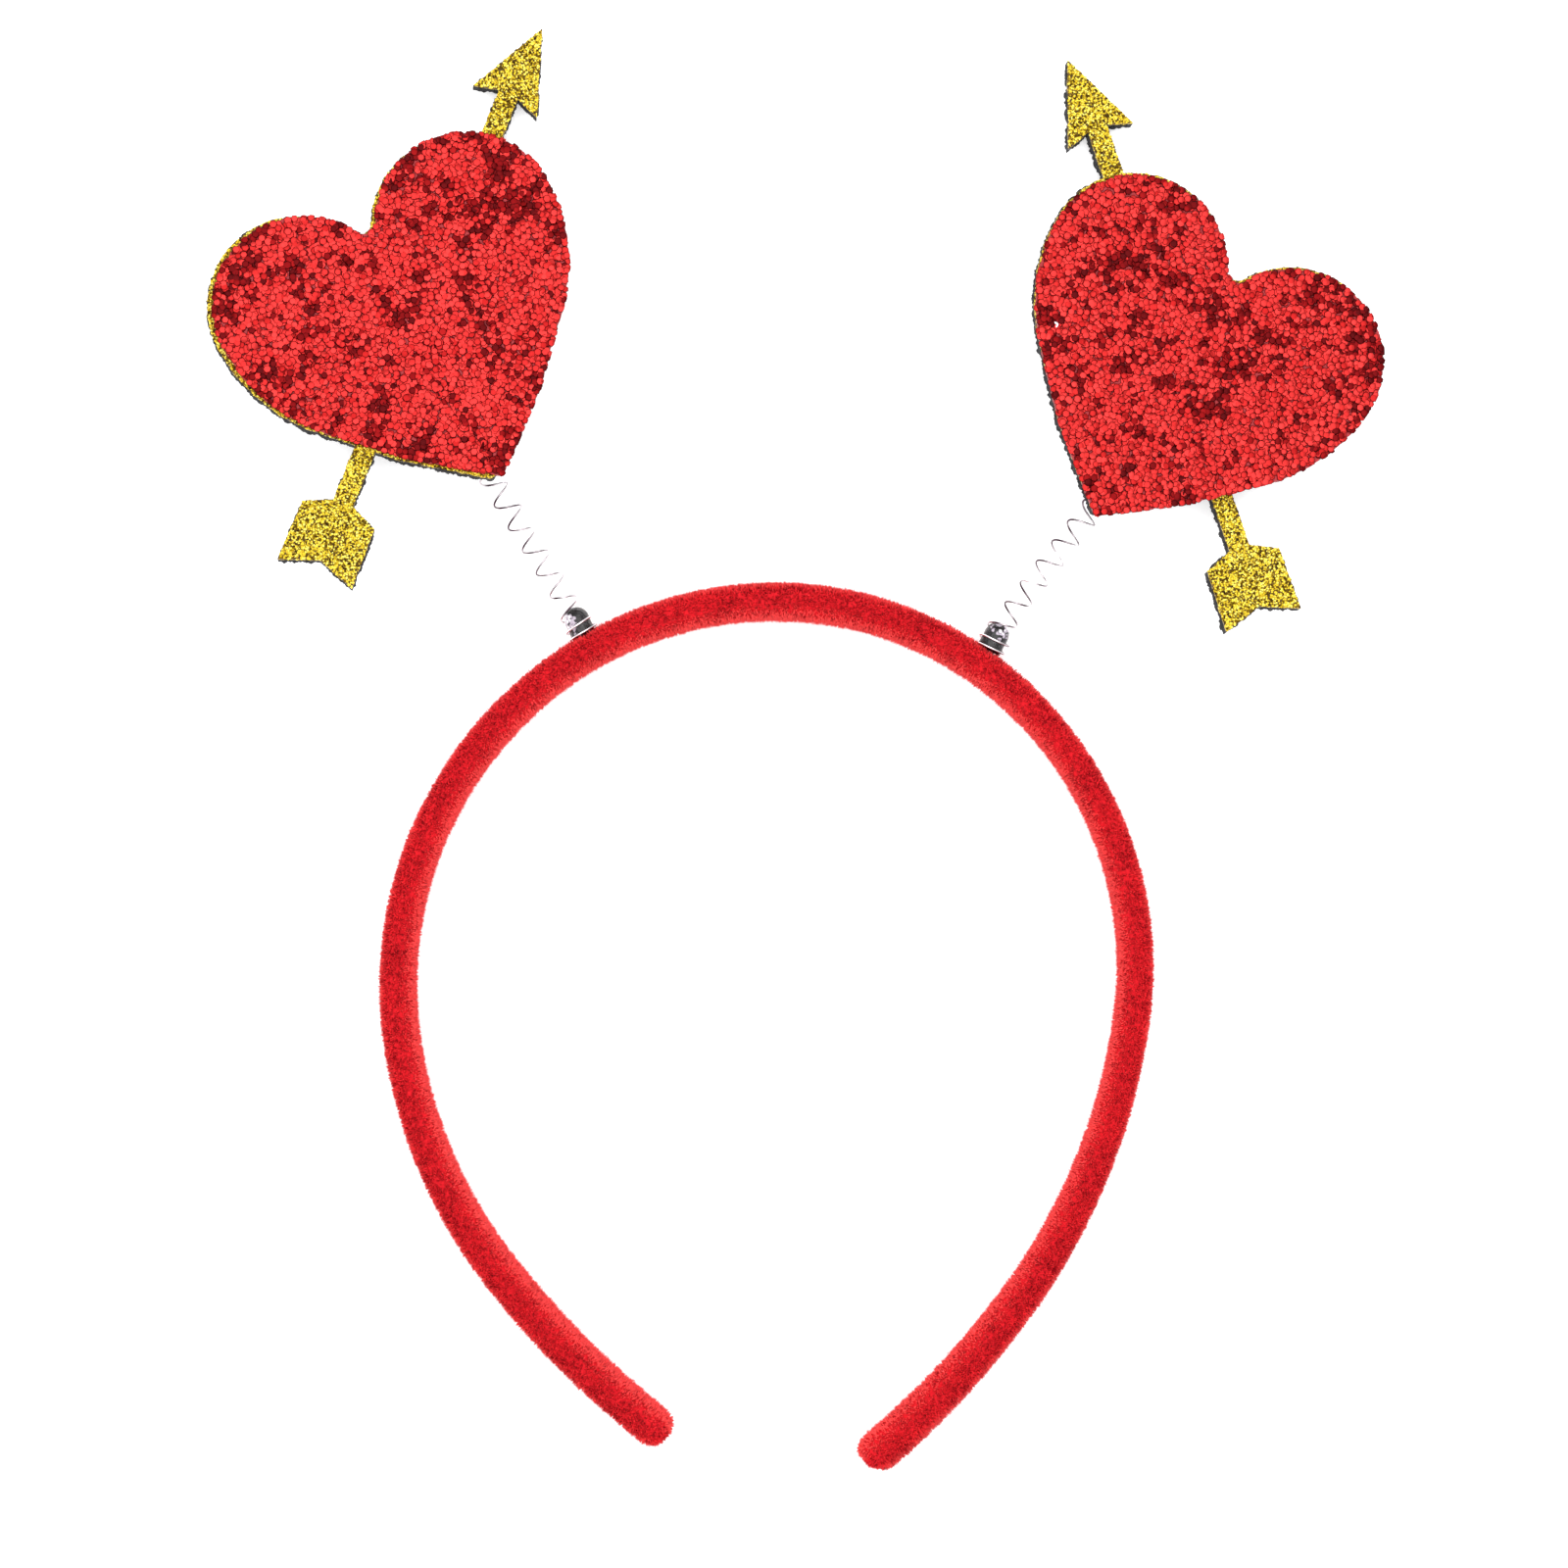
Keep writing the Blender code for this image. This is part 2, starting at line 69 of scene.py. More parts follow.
MM = 0.001
SIDES = ("left", "right")
UP = np.array((0.0, 0.0, 1.0))
WELD = 0.002 * MM               # doubles in a CAD node's loose triangles
FLAT_ANGLE = np.radians(0.05)   # faces nearer than this are one flat face
OFF_FLOOR = 0.05 * MM           # a CAD vertex under this height lies on the floor
WAVES = 40                      # sines in a smooth random field
BAND_STEPS = 5                  # rings of cloth for each CAD ring of the band
BAND_SIDES = 48                 # points around the band
PLUG_SIDES = 40                 # points around a plug
DOME_RINGS = 13                 # rings of points up a plug's dome
STRAIGHT_SHARE = 0.46           # share of a plug's height at which its dome starts
WIRE_STEPS = 4                  # points on the wire's line for each CAD ring of the wire
WIRE_SIDES = 12                 # points around the wire
WALL_ROWS = 5                   # rows of points up the cut edge of a sheet
CORNER_REACH = 4                # points before and after one that tell whether it is at a corner


# Properties that a user may change, one function for each kind
def length(name, description, default):
    return FloatProperty(
        name=name, description=description, default=default, unit="LENGTH", precision=5
    )


def share(name, description, default):
    return FloatProperty(name=name, description=description, default=default, subtype="FACTOR")


def angle(name, description, degrees):
    return FloatProperty(
        name=name, description=description, default=float(np.radians(degrees)), subtype="ANGLE"
    )


def colour(name, description, default):
    return FloatVectorProperty(
        name=name, description=description, default=default, subtype="COLOR", min=0.0, max=1.0
    )


def direction(name, description, default):
    return FloatVectorProperty(
        name=name, description=description, default=default, subtype="DIRECTION"
    )


class VelourSettings(PropertyGroup):
    """Sizes and colours of the velour"""

    pile_height: length("Pile height", "Length of a tuft of the velour's pile", 0.80 * MM)
    tuft_width: length("Tuft width", "Width of a tuft at its root", 0.34 * MM)
    sunk: length("Sunk", "How far the cloth under the pile lies inside the outline", 0.72 * MM)
    tufts: IntProperty(name="Tufts", description="Tufts on each half of the band", default=49500)
    lean: share("Lean", "How far a tuft leans, as a share of its height", 0.45)
    # painted shade: the dark root colour stands for the shade deep in the pile
    root: colour("Root", "Colour deep in the pile", (0.30, 0.001, 0.006))
    tip: colour("Tip", "Colour at the tips of the pile", (0.82, 0.018, 0.027))
    # painted sheen: the pale colour where the pile's painted sheen is high
    painted_sheen: colour("Painted_sheen", "Colour where the pile is brushed light", (1.0, 0.085, 0.085))


class GlitterSettings(PropertyGroup):
    """Sizes and colours of the red hearts' flakes"""

    flake_width: length("Flake width", "Width of a red flake across its corners", 1.06 * MM)
    flake_thickness: length("Flake thickness", "Thickness of a red flake", 0.06 * MM)
    spacing: length("Spacing", "Distance between neighbouring flakes", 0.74 * MM)
    tilt: angle("Tilt", "Usual tilt of a flake", 4.0)
    overhang: length("Overhang", "How far flakes reach past the edge", 0.32 * MM)
    patch: length("Patch", "Size of the dark patches", 2.2 * MM)
    # the sheet's dark red stands partly for painted shade in the gaps between flakes
    sheet: colour("Sheet", "Colour of the sheet under the flakes", (0.20, 0.001, 0.004))
    # painted shade and painted reflection: the dark and bright ends of the flakes' tones
    dark: colour("Dark", "Colour of the darkest flakes", (0.05, 0.0002, 0.001))
    bright: colour("Bright", "Colour of the brightest flakes", (0.55, 0.031, 0.029))


class GoldSettings(PropertyGroup):
    """Sizes and colours of the gold grains"""

    grain_width: length("Grain width", "Width of a gold grain", 0.52 * MM)
    spacing: length("Spacing", "Distance between neighbouring grains", 0.36 * MM)
    tilt: angle("Tilt", "Usual tilt of a grain", 17.0)
    # painted shade and painted glints: the dark and bright ends of the gold's tones
    dark: colour("Dark", "Colour between the grains", (0.03, 0.013, 0.0005))
    bright: colour("Bright", "Colour of the brightest grains", (0.95, 0.72, 0.05))


class FoamSettings(PropertyGroup):
    """Roughness and colour of the foam backings"""

    ragged: length("Ragged", "How rough the cut edge of the foam is", 0.15 * MM)
    colour: colour("Colour", "Colour of the foam", (0.016, 0.016, 0.018))


class SpringSettings(PropertyGroup):
    """Size, seat and colours of the wire springs"""

    wire_radius: length("Wire radius", "Half the thickness of the wire", 0.18 * MM)
    seat: length("Seat", "How far the lowest turn settles towards the band", 0.5 * MM)
    colour: colour("Colour", "Colour of the wire", (0.86, 0.81, 0.84))
    # painted shade: the dark colour on the wire's left side
    dull: colour("Dull", "Colour where the wire is dull", (0.06, 0.03, 0.045))


class PlugSettings(PropertyGroup):
    """Seat, painted reflections and colours of the plugs"""

    sunk: length("Sunk", "How far the foot reaches into the pile", 0.6 * MM)
    # painted reflection: the way each plug's reflecting side faces
    lit_left: direction("Lit left", "Way the left plug's silvery side faces", (-0.63, -0.25, 0.55))
    lit_right: direction("Lit right", "Way the right plug's silvery side faces", (0.44, 0.52, 0.52))
    colour: colour("Colour", "Colour of the plug", (0.004, 0.003, 0.004))
    # painted reflection: colour of the pale patches on the plug
    bloom: colour("Bloom", "Colour of the silvery patches", (0.42, 0.36, 0.43))


class StageSettings(PropertyGroup):
    """Camera and floor"""

    camera_height: length("Camera height", "Height of the camera over the floor", 750.0 * MM)
    camera_x: length("Camera X", "Place of the camera to the side", 1.32 * MM)
    camera_y: length("Camera Y", "Place of the camera along the band", -30.6 * MM)
    lens: FloatProperty(name="Lens", description="Focal length in millimetres", default=101.9)
    floor: colour("Floor", "Colour of the floor", (0.95, 0.95, 0.95))


SETTINGS = {
    "velour": VelourSettings,
    "glitter": GlitterSettings,
    "gold": GoldSettings,
    "foam": FoamSettings,
    "spring": SpringSettings,
    "plug": PlugSettings,
    "stage": StageSettings,
}


class Value:
    """A socket of a shader. Sums, differences and products of it add Math nodes."""

    def __init__(self, shader, socket):
        self.shader = shader
        self.socket = socket

    def math(self, operation, first, second):
        return self.shader.node("ShaderNodeMath", {"operation": operation}, {0: first, 1: second})

    def __add__(self, other):
        return self.math("ADD", self, other)

    def __radd__(self, other):
        return self.math("ADD", other, self)

    def __sub__(self, other):
        return self.math("SUBTRACT", self, other)

    def __rsub__(self, other):
        return self.math("SUBTRACT", other, self)

    def __mul__(self, other):
        return self.math("MULTIPLY", self, other)

    def __rmul__(self, other):
        return self.math("MULTIPLY", other, self)


class Shader:
    """A material with one Principled BSDF, whose constants are given by their sockets' names."""

    def __init__(self, name, constants):
        self.material = bpy.data.materials.new(name)
        self.material.use_nodes = True
        self.tree = self.material.node_tree
        self.surface = self.tree.nodes["Principled BSDF"]
        self.feed(constants)

    def feed(self, inputs, node=None):
        """Set or link a node's inputs, the surface's if no node is given."""
        for key, value in inputs.items():
            socket = (node or self.surface).inputs[key]
            if isinstance(value, Value):
                self.tree.links.new(value.socket, socket)
            else:
                socket.default_value = value

    def node(self, kind, settings, inputs, output=0):
        """Add a node, set it, feed its inputs and return one of its outputs."""
        made = self.tree.nodes.new(kind)
        for key, value in settings.items():
            if key == "stops":
                self.set_stops(made.color_ramp.elements, value)
            else:
                setattr(made, key, value)
        self.feed(inputs, made)
        return Value(self, made.outputs[output])

    def set_stops(self, elements, stops):
        """Give a colour ramp its stops, each a place and a colour of three numbers."""
        while len(elements) < len(stops):
            elements.new(1.0)
        for element, (place, shade) in zip(elements, stops):
            element.position = place
            element.color = (*shade, 1.0)

    def attribute(self, name):
        """A number that the mesh carries at each of its points."""
        return self.node("ShaderNodeAttribute", {"attribute_name": name}, {}, "Fac")

    def ramp(self, value, stops):
        """The colour that a ramp gives a value."""
        return self.node("ShaderNodeValToRGB", {"stops": stops}, {"Fac": value}, "Color")

    def noise(self, size, detail=2.0):
        """Noise on Object coordinates whose features have a size in metres."""
        place = self.node("ShaderNodeTexCoord", {}, {}, "Object")
        inputs = {"Vector": place, "Scale": 1.0 / size, "Detail": detail}
        return self.node("ShaderNodeTexNoise", {}, inputs, "Fac")

    def cells(self, size, output):
        """Voronoi cells on Object coordinates whose cells have a size in metres."""
        place = self.node("ShaderNodeTexCoord", {}, {}, "Object")
        return self.node("ShaderNodeTexVoronoi", {}, {"Vector": place, "Scale": 1.0 / size}, output)

    def mix(self, amount, first, second):
        """A colour between two, each of three numbers or a link, by an amount of the second."""
        a, b = (end if isinstance(end, Value) else (*end, 1.0) for end in (first, second))
        return self.node("ShaderNodeMix", {"data_type": "RGBA"}, {0: amount, 6: a, 7: b}, 2)

    def bump(self, height, distance, strength=1.0):
        """Bump the surface by a height, one of which stands for a distance in metres."""
        inputs = {"Height": height, "Distance": distance, "Strength": strength}
        self.feed({"Normal": self.node("ShaderNodeBump", {}, inputs, "Normal")})


def unit(vectors):
    """Vectors divided by their lengths."""
    return vectors / np.linalg.norm(vectors, axis=-1, keepdims=True)


def waves(places, size, seed):
    """Smooth random field with deviation one: a sum of sines that run in random directions.

    Along each axis a sine turns by a normal number times two radians over the size.
    """
    rng = np.random.default_rng(seed)
    directions = rng.normal(size=(places.shape[-1], WAVES)) * 2.0 / size
    phases = rng.uniform(0.0, 2 * np.pi, WAVES)
    return np.sin(places @ directions + phases).sum(-1) / np.sqrt(WAVES / 2)


def make_piece(name, places, face_groups, material, slot, smooth=False, **attributes):
    """A mesh object from an array of places and arrays of faces, one array for each face size.

    Its faces are flat unless it is smooth. Each further array becomes an attribute of its points.
    """
    corners = np.concatenate([group.ravel() for group in face_groups])
    sizes = np.concatenate([np.full(len(group), group.shape[1]) for group in face_groups])
    mesh = bpy.data.meshes.new(name)
    mesh.vertices.add(len(places))
    mesh.vertices.foreach_set("co", places.astype(np.float32).ravel())
    mesh.loops.add(len(corners))
    mesh.loops.foreach_set("vertex_index", corners.astype(np.int32))
    mesh.polygons.add(len(sizes))
    mesh.polygons.foreach_set("loop_start", (np.cumsum(sizes) - sizes).astype(np.int32))
    mesh.update(calc_edges=True)
    for key, values in attributes.items():
        layer = mesh.attributes.new(key, "FLOAT", "POINT")
        layer.data.foreach_set("value", values.astype(np.float32))
    if not smooth:
        mesh.shade_flat()
    mesh.materials.append(material)
    piece = bpy.data.objects.new(name, mesh)
    bpy.context.scene.collection.objects.link(piece)
    return piece


def volume(places, quads):
    """Volume inside quads, positive if they face outwards: the sum over their triangles' cones."""
    a, b, c, d = (places[quads[:, k]] for k in range(4))
    cones = np.einsum("ij,ij->i", a, np.cross(b, c)) + np.einsum("ij,ij->i", a, np.cross(c, d))
    return cones.sum() / 6


def around_circle(count):
    """Angles of points evenly spaced around a circle."""
    return np.arange(count) * 2 * np.pi / count


def skin(rings, start, end):
    """Places and outward faces of a tube over rings of points, closed by a fan at each end."""
    count, around = rings.shape[:2]
    places = np.vstack((rings.reshape(-1, 3), start, end))
    row = np.arange(count - 1)[:, None] * around
    here = np.arange(around)
    following = (here + 1) % around
    quads = np.stack(
        [row + here, row + following, row + around + following, row + around + here], axis=-1
    ).reshape(-1, 4)
    last = (count - 1) * around
    tip = np.full(around, count * around)
    first_fan = np.stack((following, here, tip), axis=-1)
    last_fan = np.stack((last + here, last + following, tip + 1), axis=-1)
    groups = [quads, np.vstack((first_fan, last_fan))]
    if volume(places, quads) < 0.0:
        groups = [group[:, ::-1] for group in groups]
    return places, groups


def smooth_path(points, steps):
    """Catmull-Rom curve: each stretch is the cubic through its ends with its neighbours' slopes."""
    padded = np.concatenate(([2 * points[0] - points[1]], points, [2 * points[-1] - points[-2]]))
    a, b, c, d = (padded[k : len(points) - 1 + k] for k in range(4))
    t = np.arange(steps).reshape(-1, *[1] * points.ndim) / steps
    curve = b + t / 2 * (c - a) + t**2 * (a - 2.5 * b + 2 * c - 0.5 * d)
    curve = curve + t**3 / 2 * (3 * b - a - 3 * c + d)
    curve = np.swapaxes(curve, 0, 1).reshape(-1, *points.shape[1:])
    return np.concatenate((curve, points[-1:]))


def joined_copies(corners, faces, places, facing, sizes, rng):
    """Places and faces of copies of one small solid, each turned at random about its facing.

    A corner of a copy lies at its place plus its size along two directions across and its facing.
    """
    across = unit(np.cross(facing, rng.normal(size=facing.shape)))
    beside = np.cross(facing, across)
    axes = np.stack((across, beside, facing), axis=1)
    local = corners[None] * sizes[:, None, :]
    points = places[:, None, :] + np.einsum("nkj,nji->nki", local, axes)
    shift = np.arange(len(places))[:, None, None] * len(corners)
    groups = [(group[None] + shift).reshape(-1, group.shape[1]) for group in faces]
    return points.reshape(-1, 3), groups


def prism(sides, foot=1.0):
    """Corners and faces of a flat prism one wide and one thick, foot times as wide at its foot."""
    turn = around_circle(sides)
    ring = np.stack((np.cos(turn) / 2, np.sin(turn) / 2), axis=-1)
    corners = np.vstack([
        np.column_stack((wide * ring, np.full(sides, z))) for wide, z in ((foot, -0.5), (1.0, 0.5))
    ])
    here = np.arange(sides)
    following = (here + 1) % sides
    walls = np.stack((here, following, following + sides, here + sides), axis=-1)
    return corners, [np.stack((here[::-1], here + sides)), walls]


def welded(node, flatten=False):
    """A CAD node as a BMesh with its doubles merged and, if asked, each flat face in one."""
    shape = bmesh.new()
    shape.from_mesh(frame["nodes"][node].data)
    bmesh.ops.remove_doubles(shape, verts=shape.verts, dist=WELD)
    if flatten:
        bmesh.ops.dissolve_limit(
            shape, angle_limit=FLAT_ANGLE, verts=shape.verts, edges=shape.edges
        )
    return shape


def rings_from(first):
    """Rings of a CAD tube's vertices, each one edge further from those that it starts with.

    Vertices on the floor are left out, because the flat under the band is cut another way.
    """
    seen = set(first)
    ring = seen
    rings = []
    while ring:
        rings.append(np.array([vert.co for vert in ring]))
        ring = {edge.other_vert(vert) for vert in ring for edge in vert.link_edges} - seen
        ring = {vert for vert in ring if vert.co.z > OFF_FLOOR}
        seen = seen | ring
    return rings


def band_grid(steps, around):
    """The band's surface on a grid, and the outward level direction at each ring.

    Each CAD ring becomes a middle, an outward direction and a radius for each of the angles
    around it, and all of them run along the band as a Catmull-Rom curve.
    """
    shape = welded("band")
    poles = sorted(shape.verts, key=lambda vert: len(vert.link_edges))[-2:]
    first = min(poles, key=lambda vert: vert.co.x)
    rings = rings_from([first])
    ends = rings[0][0], rings[-1][0]
    rings = rings[1:-1]
    shape.free()
    middles = np.array([ring.mean(axis=0) for ring in rings])
    middles[:, 2] = ends[0][2]
    outward = np.cross(UP, unit(np.gradient(middles, axis=0)))
    turns = np.linspace(-np.pi, np.pi, around, endpoint=False)
    radii = []
    for ring, middle, out in zip(rings, middles, outward):
        across = (ring - middle) @ out
        shift = (across.max() + across.min()) / 2
        middle += shift * out
        across = across - shift
        rise = ring[:, 2] - middle[2]
        radii.append(
            np.interp(turns, np.arctan2(rise, across), np.hypot(across, rise), period=2 * np.pi)
        )
    radii = np.array(radii)
    middles, outward, radii = (smooth_path(part, steps) for part in (middles, outward, radii))
    outward = unit(outward)
    return middles, outward, radii, turns, ends


def band_surface(middles, outward, radii, turns):
    """Points at a radius from the middle line, none under the floor."""
    spots = middles[:, None] + outward[:, None] * (radii * np.cos(turns))[..., None]
    spots = spots + UP * (radii * np.sin(turns))[..., None]
    spots[..., 2] = np.maximum(spots[..., 2], 0.0)
    return spots


def scattered(grid, count, rng):
    """Random spots on a grid that is closed around, with the normals of their cells.

    They are even over its area, but a quarter as many at the floor.
    """
    closed = np.concatenate((grid, grid[:, :1]), axis=1)
    a, b = closed[:-1, :-1], closed[:-1, 1:]
    c, d = closed[1:, 1:], closed[1:, :-1]
    normals = np.cross(c - a, b - d).reshape(-1, 3)
    areas = np.linalg.norm(normals, axis=1)
    heights = (a + b + c + d)[..., 2].ravel() / 4
    sparse_height, full_height = 0.5 * MM, 1.5 * MM
    chances = areas * np.interp(heights, (sparse_height, full_height), (0.25, 1.0))
    cells = rng.choice(len(areas), count, p=chances / chances.sum())
    s, t = rng.random((2, count, 1))
    a, b, c, d = (part.reshape(-1, 3)[cells] for part in (a, b, c, d))
    spots = (a * (1 - s) + b * s) * (1 - t) + (d * (1 - s) + c * s) * t
    return spots, unit(normals[cells]), cells


class Plate:
    """The plane and outline of a flat CAD sheet, and the heights of its two faces.

    The outline is in the plane's two directions, counterclockwise seen from its upper side.
    """

    def __init__(self, node):
        shape = welded(node, flatten=True)
        shape.faces.ensure_lookup_table()
        top = max(shape.faces, key=lambda face: face.calc_area() * face.normal.z)
        self.up = np.array(top.normal)
        self.right = unit(np.cross((0.0, 1.0, 0.0), self.up))
        self.ahead = np.cross(self.up, self.right)
        loop = np.array([vert.co for vert in top.verts])
        heights = np.array([vert.co for vert in shape.verts]) @ self.up
        self.low, self.high = heights.min(), heights.max()
        self.outline = np.stack((loop @ self.right, loop @ self.ahead), axis=-1)
        x, y = self.outline.T
        if x @ np.roll(y, -1) < y @ np.roll(x, -1):
            self.outline = self.outline[::-1]
        shape.free()

    def place(self, flat, heights):
        """World places of points in the plane at heights along its upward direction."""
        spots = flat[..., :1] * self.right + flat[..., 1:] * self.ahead
        return spots + np.broadcast_to(heights, flat.shape[:-1])[..., None] * self.up

    def nearest(self, flat):
        """Nearest point of the outline to each point, and how far away it is."""
        start = self.outline
        edge = np.roll(start, -1, axis=0) - start
        along = ((flat[:, None] - start) * edge).sum(-1) / (edge**2).sum(-1)
        spots = start + np.clip(along, 0.0, 1.0)[..., None] * edge
        distance = np.linalg.norm(flat[:, None] - spots, axis=-1)
        best = np.arange(len(flat)), distance.argmin(axis=1)
        return spots[best], distance[best]

    def inside(self, flat):
        """Signed distance of points from the outline, positive inside it."""
        distance = self.nearest(flat)[1]
        start, end = self.outline, np.roll(self.outline, -1, axis=0)
        edge = end - start
        spans = (start[:, 1] > flat[:, None, 1]) != (end[:, 1] > flat[:, None, 1])
        run = np.where(edge[:, 1] == 0.0, 1.0, edge[:, 1])
        crossing = start[:, 0] + (flat[:, None, 1] - start[:, 1]) / run * edge[:, 0]
        hits = (spans & (flat[:, None, 0] < crossing)).sum(axis=1)
        return np.where(hits % 2 == 1, distance, -distance)

    def trimmed(self, spots, reach):
        """World places, of which those past the outline by more than a reach move back to it.

        Each moves straight towards the nearest point of the outline.
        """
        flat = np.stack((spots @ self.right, spots @ self.ahead), axis=-1)
        depth = self.inside(flat)
        beyond = depth < -reach
        nearest = self.nearest(flat[beyond])[0]
        excess = 1.0 - reach / -depth[beyond]
        move = (nearest - flat[beyond]) * excess[:, None]
        spots[beyond] += move[:, :1] * self.right + move[:, 1:] * self.ahead
        return spots

    def lattice(self, spacing, jitter, rng):
        """Points on a triangular lattice over the outline's box, each moved a little.

        Its rows are as far apart as an equal-sided triangle on the spacing is tall.
        """
        low, high = self.outline.min(axis=0) - spacing, self.outline.max(axis=0) + spacing
        rows = np.arange(low[1], high[1], spacing * np.sqrt(0.75))
        columns = np.arange(low[0], high[0], spacing)
        x, y = np.meshgrid(columns, rows)
        x = x + (np.arange(len(rows)) % 2)[:, None] * spacing / 2
        flat = np.stack((x.ravel(), y.ravel()), axis=-1)
        return flat + rng.normal(size=flat.shape) * jitter

    def walls(self, low, high, ragged, grain, seed):
        """Places and faces of a solid whose cut edge wanders by a smooth random amount.

        The amount is a field of four grains plus 0.6 of one of 1.6 grains, held within two. It
        fades out at the outline's corners, where the edge would cross itself. A corner is where
        the directions before and after a point differ, which shows in their smallest product.
        """
        start = self.outline
        edge = np.roll(start, -1, axis=0) - start
        marks = np.concatenate(([0.0], np.cumsum(np.linalg.norm(edge, axis=1))))
        around = np.arange(0.0, marks[-1], grain)
        closed = np.concatenate((start, start[:1]))
        loop = np.stack([np.interp(around, marks, closed[:, k]) for k in range(2)], axis=-1)
        tangent = unit(np.roll(loop, -1, axis=0) - np.roll(loop, 1, axis=0))
        normal = np.stack((tangent[:, 1], -tangent[:, 0]), axis=-1)
        alike = np.min([
            (np.roll(tangent, -step, axis=0) * np.roll(tangent, step, axis=0)).sum(-1)
            for step in range(1, CORNER_REACH + 1)
        ], axis=0)
        corner, straight = 0.80, 0.97
        ragged = ragged * np.interp(alike, (corner, straight), (0.0, 1.0))[:, None]
        rows = []
        for level in np.linspace(low, high, WALL_ROWS):
            spots = self.place(loop, level)
            wander = waves(spots, 4 * grain, seed) + 0.6 * waves(spots, 1.6 * grain, seed + 1)
            wander = np.clip(wander, -2.0, 2.0)[:, None]
            rows.append(self.place(loop + normal * ragged * wander, level))
        rings = np.array(rows)
        count = len(loop)
        here = np.arange(count)
        following = (here + 1) % count
        quads = np.concatenate([
            np.stack((here, following, following + count, here + count), axis=-1) + row * count
            for row in range(WALL_ROWS - 1)
        ])
        lids = np.stack((here[::-1], here + (WALL_ROWS - 1) * count))
        return rings.reshape(-1, 3), [quads, lids]


def glitter_shader(name, stops, roughness, metallic, size):
    """Metallic flakes whose tone paints glints and shade, darker towards a flake's rim as painted
    shadow.
    """
    shader = Shader(name, {"Metallic": metallic, "Specular IOR Level": 0.1})
    mottle, rim_shadow_depth = 0.08, 0.95
    tone = shader.attribute("tone") + shader.noise(size) * mottle - mottle / 2
    # painted shadow: a flake darkens towards its foot by its rim mark
    shader.feed({"Base Color": shader.ramp(tone - shader.attribute("rim") * rim_shadow_depth, stops)})
    shader.feed({"Roughness": roughness + shader.noise(size * 3) * 0.12})
    return shader.material


def cell_shader(name, stops, size, metallic):
    """Fine glitter: cells of random tone, painted glints and shade, with painted shade along some
    of their borders.
    """
    shader = Shader(name, {"Metallic": metallic, "Roughness": 0.4})
    tone = shader.node(
        "ShaderNodeSeparateColor", {}, {"Color": shader.cells(size, "Color")}, "Red"
    )
    border = shader.cells(size, "Distance")
    # painted shade: darker towards the cells' borders
    shader.feed({"Base Color": shader.ramp(tone - border * 0.35, stops)})
    shader.bump(tone - border, distance=0.12 * MM, strength=0.8)
    return shader.material


